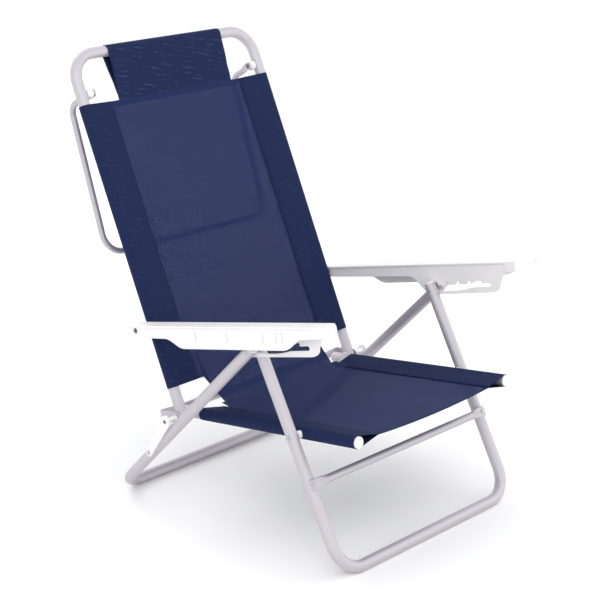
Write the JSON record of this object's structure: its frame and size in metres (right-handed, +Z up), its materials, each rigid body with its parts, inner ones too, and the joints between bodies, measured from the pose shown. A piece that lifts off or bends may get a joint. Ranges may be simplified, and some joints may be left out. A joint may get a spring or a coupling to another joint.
{
  "type": "folding beach chair",
  "caption": "Low folding beach chair: anodised tube frame with a woven mesh sling, slotted armrests that set the recline, white strut links and a towel rail behind the back.",
  "frame": {"origin": "on the ground, at the middle of the overall width and depth of the open chair", "axes": "+Z up; the sitter faces -Y; +X is the sitter's left-hand side seen from the front as right"},
  "size_m": [0.581, 0.7796, 0.8768],
  "materials": {
    "anodised_tube": "satin anodised",
    "steel_rivet": "dull zinc",
    "dark_rivet": "dark zinc",
    "white_plastic": "satin moulded",
    "armrest_plastic": "satin moulded",
    "sling_fabric": "woven mesh"
  },
  "bodies": {
    "seat": {"seat_rails": "anodised_tube", "seat_end_plugs": "white_plastic", "seat_sling": "sling_fabric", "main_pivot_rivets": "steel_rivet", "seat_pivot_rivets": "steel_rivet", "seat_spacers": "white_plastic", "rear_brace": "anodised_tube"},
    "front_legs": {"front_leg_frame": "anodised_tube", "front_leg_plugs": "white_plastic", "front_stretcher": "anodised_tube", "stretcher_rivets": "steel_rivet", "apex_pins": "steel_rivet"},
    "rear_legs": {"rear_leg_frame": "anodised_tube", "rear_leg_plugs": "white_plastic", "link_rivets": "steel_rivet"},
    "link_left": {"link_left": "white_plastic", "link_hub_rivet_left": "dark_rivet"},
    "link_right": {"link_right": "white_plastic", "link_hub_rivet_right": "dark_rivet"},
    "back_hinge": {"back_hinge_washers": "white_plastic"},
    "back": {"back_frame": "anodised_tube", "back_sling": "sling_fabric", "head_loop": "sling_fabric", "rail_spacers": "white_plastic", "rail_rivets": "dark_rivet"},
    "arm_pivot_left": {"armrest_screw_left": "dark_rivet"},
    "arm_pivot_right": {"armrest_screw_right": "dark_rivet"},
    "armrest_left": {"armrest_left": "armrest_plastic"},
    "armrest_right": {"armrest_right": "armrest_plastic"},
    "towel_rail": {"towel_rail": "anodised_tube"}
  },
  "joints": [
    {"name": "fold", "type": "hinge", "parent": "seat", "child": "front_legs", "pos_m": [0, -0.24632, 0.24289], "axis": [1, 0, 0], "range_deg": [0, 100]},
    {"name": "rear_leg_hinge", "type": "hinge", "parent": "front_legs", "child": "rear_legs", "pos_m": [0, -0.16342, 0.39495], "axis": [1, 0, 0], "range_deg": [-71, 0.5]},
    {"name": "link_hinge_left", "type": "hinge", "parent": "rear_legs", "child": "link_left", "pos_m": [-0.2845, 0.10796, 0.1188], "axis": [1, 0, 0], "range_deg": [-150, 0.5]},
    {"name": "link_hinge_right", "type": "hinge", "parent": "rear_legs", "child": "link_right", "pos_m": [0.2845, 0.10796, 0.1188], "axis": [1, 0, 0], "range_deg": [-150, 0.5]},
    {"name": "back_fold", "type": "hinge", "parent": "seat", "child": "back_hinge", "pos_m": [0, 0.05684, 0.1985], "axis": [1, 0, 0], "range_deg": [-0.5, 98.5]},
    {"name": "recline", "type": "hinge", "parent": "back_hinge", "child": "back", "pos_m": [0, 0.05684, 0.1985], "axis": [1, 0, 0], "range_deg": [-43, 0]},
    {"name": "arm_fold_left", "type": "hinge", "parent": "back", "child": "arm_pivot_left", "pos_m": [-0.27, 0.13415, 0.36657], "axis": [1, 0, 0], "range_deg": [-102.5, 0.5]},
    {"name": "arm_fold_right", "type": "hinge", "parent": "back", "child": "arm_pivot_right", "pos_m": [0.27, 0.13415, 0.36657], "axis": [1, 0, 0], "range_deg": [-102.5, 0.5]},
    {"name": "arm_recline_left", "type": "hinge", "parent": "arm_pivot_left", "child": "armrest_left", "pos_m": [-0.27, 0.13415, 0.36657], "axis": [1, 0, 0], "range_deg": [-0.5, 34.5]},
    {"name": "arm_recline_right", "type": "hinge", "parent": "arm_pivot_right", "child": "armrest_right", "pos_m": [0.27, 0.13415, 0.36657], "axis": [1, 0, 0], "range_deg": [-0.5, 34.5]},
    {"name": "towel_rail_swing", "type": "hinge", "parent": "back", "child": "towel_rail", "pos_m": [0, 0.33013, 0.79266], "axis": [1, 0, 0], "range_deg": [-10, 60]}
  ],
  "couplings": [
    {"joint": "rear_leg_hinge", "follows": "fold", "ratio": -0.7021},
    {"joint": "link_hinge_left", "follows": "fold", "ratio": -1.4935},
    {"joint": "link_hinge_right", "follows": "fold", "ratio": -1.4935},
    {"joint": "back_fold", "follows": "fold", "ratio": 0.98},
    {"joint": "arm_fold_left", "follows": "fold", "ratio": -1.019},
    {"joint": "arm_fold_right", "follows": "fold", "ratio": -1.019},
    {"joint": "arm_recline_left", "follows": "recline", "ratio": -0.79},
    {"joint": "arm_recline_right", "follows": "recline", "ratio": -0.79}
  ]
}
